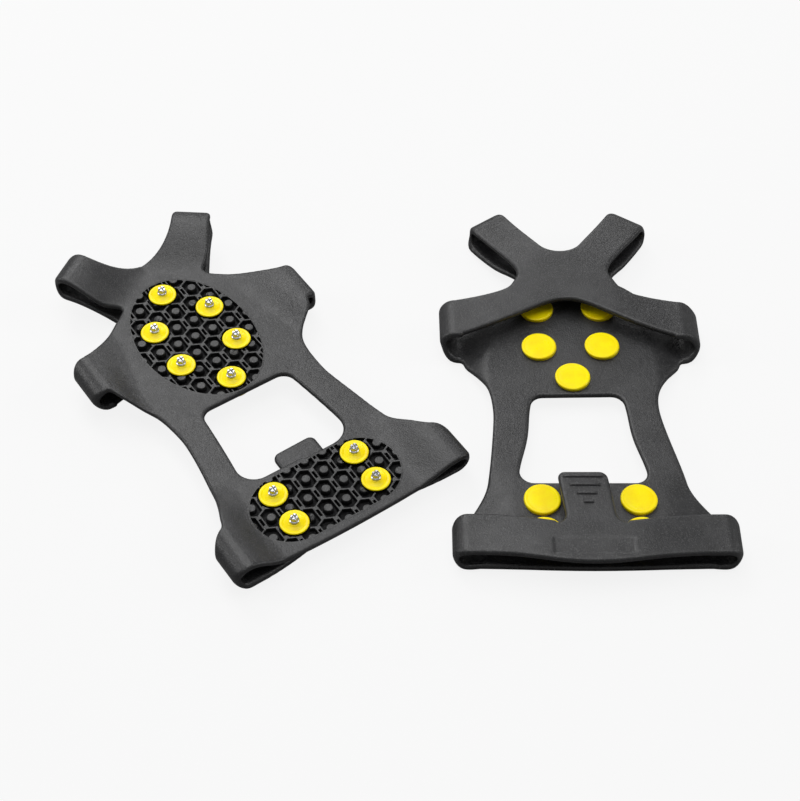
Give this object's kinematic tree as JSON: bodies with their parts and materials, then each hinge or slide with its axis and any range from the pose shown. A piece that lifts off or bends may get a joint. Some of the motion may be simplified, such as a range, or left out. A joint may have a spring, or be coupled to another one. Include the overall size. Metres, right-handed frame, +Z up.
{
  "type": "ice cleat",
  "caption": "Pair of slip-on rubber ice cleats with steel spikes in yellow studs, a crossed toe vamp and a heel strap with a pull tab.",
  "frame": {"origin": "on the floor, under the middle of the box round the pair", "axes": "+X across the pair towards the upright cleat, +Y towards the upright cleat's toe, +Z up"},
  "size_m": [0.3178, 0.2308, 0.0248],
  "materials": {
    "rubber": "matt moulded, with a fine grain",
    "yellow_plastic": "smooth, half gloss",
    "steel": "bright turned steel"
  },
  "bodies": {
    "upright_ball": {"upright_ball_pad": "rubber", "upright_rail_left": "rubber", "upright_rail_right": "rubber", "upright_toe_loop_left": "rubber", "upright_toe_loop_right": "rubber", "upright_side_loop_left": "rubber", "upright_side_loop_right": "rubber", "upright_ball_button_1": "yellow_plastic", "upright_ball_button_2": "yellow_plastic", "upright_ball_button_3": "yellow_plastic", "upright_ball_button_4": "yellow_plastic", "upright_ball_button_5": "yellow_plastic", "upright_ball_button_6": "yellow_plastic", "upright_ball_washers": "yellow_plastic", "upright_ball_spikes": "steel"},
    "upright_vamp": {"upright_vamp": "rubber"},
    "upright_heel": {"upright_heel_pad": "rubber", "upright_heel_loop_left": "rubber", "upright_heel_loop_right": "rubber", "upright_heel_button_1": "yellow_plastic", "upright_heel_button_2": "yellow_plastic", "upright_heel_button_3": "yellow_plastic", "upright_heel_button_4": "yellow_plastic", "upright_heel_washers": "yellow_plastic", "upright_heel_spikes": "steel"},
    "upright_heel_strap": {"upright_heel_strap": "rubber"},
    "upturned_ball": {"upturned_ball_pad": "rubber", "upturned_rail_left": "rubber", "upturned_rail_right": "rubber", "upturned_toe_loop_left": "rubber", "upturned_toe_loop_right": "rubber", "upturned_side_loop_left": "rubber", "upturned_side_loop_right": "rubber", "upturned_ball_button_1": "yellow_plastic", "upturned_ball_button_2": "yellow_plastic", "upturned_ball_button_3": "yellow_plastic", "upturned_ball_button_4": "yellow_plastic", "upturned_ball_button_5": "yellow_plastic", "upturned_ball_button_6": "yellow_plastic", "upturned_ball_washers": "yellow_plastic", "upturned_ball_spikes": "steel"},
    "upturned_vamp": {"upturned_vamp": "rubber"},
    "upturned_heel": {"upturned_heel_pad": "rubber", "upturned_heel_loop_left": "rubber", "upturned_heel_loop_right": "rubber", "upturned_heel_button_1": "yellow_plastic", "upturned_heel_button_2": "yellow_plastic", "upturned_heel_button_3": "yellow_plastic", "upturned_heel_button_4": "yellow_plastic", "upturned_heel_washers": "yellow_plastic", "upturned_heel_spikes": "steel"},
    "upturned_heel_strap": {"upturned_heel_strap": "rubber"}
  },
  "joints": [
    {"name": "upright_vamp_stretch", "type": "slide", "parent": "upright_ball", "child": "upright_vamp", "axis": [0, 0, 1], "range_m": [0, 0.025], "stiffness_N_per_m": 2000, "deforming": ["upright_toe_loop_left", "upright_toe_loop_right", "upright_side_loop_left", "upright_side_loop_right"]},
    {"name": "upright_waist_bend", "type": "hinge", "parent": "upright_ball", "child": "upright_heel", "pos_m": [0.09485, -0.02831, 0.0068], "axis": [-0.9994, -0.0349, 0], "range_deg": [0, 60], "stiffness_Nm_per_rad": 0.05, "deforming": ["upright_rail_left", "upright_rail_right"]},
    {"name": "upright_heel_strap_stretch", "type": "slide", "parent": "upright_heel", "child": "upright_heel_strap", "axis": [0.0349, -0.9994, 0], "range_m": [0, 0.035], "stiffness_N_per_m": 1000, "deforming": ["upright_heel_loop_left", "upright_heel_loop_right"]},
    {"name": "upturned_lift", "type": "slide", "parent": "upright_ball", "child": "upturned_vamp", "axis": [0, 0, 1], "range_m": [0, 0.12]},
    {"name": "upturned_vamp_stretch", "type": "slide", "parent": "upturned_vamp", "child": "upturned_ball", "axis": [0, 0, 1], "range_m": [0, 0.025], "stiffness_N_per_m": 2000, "deforming": ["upturned_toe_loop_left", "upturned_toe_loop_right", "upturned_side_loop_left", "upturned_side_loop_right"]},
    {"name": "upturned_waist_bend", "type": "hinge", "parent": "upturned_ball", "child": "upturned_heel", "pos_m": [-0.04685, -0.02559, 0.01108], "axis": [-0.8221, -0.5693, 0], "range_deg": [0, 60], "stiffness_Nm_per_rad": 0.05, "deforming": ["upturned_rail_left", "upturned_rail_right"]},
    {"name": "upturned_heel_strap_stretch", "type": "slide", "parent": "upturned_heel", "child": "upturned_heel_strap", "axis": [0.5693, -0.8221, 0], "range_m": [0, 0.035], "stiffness_N_per_m": 1000, "deforming": ["upturned_heel_loop_left", "upturned_heel_loop_right"]}
  ]
}
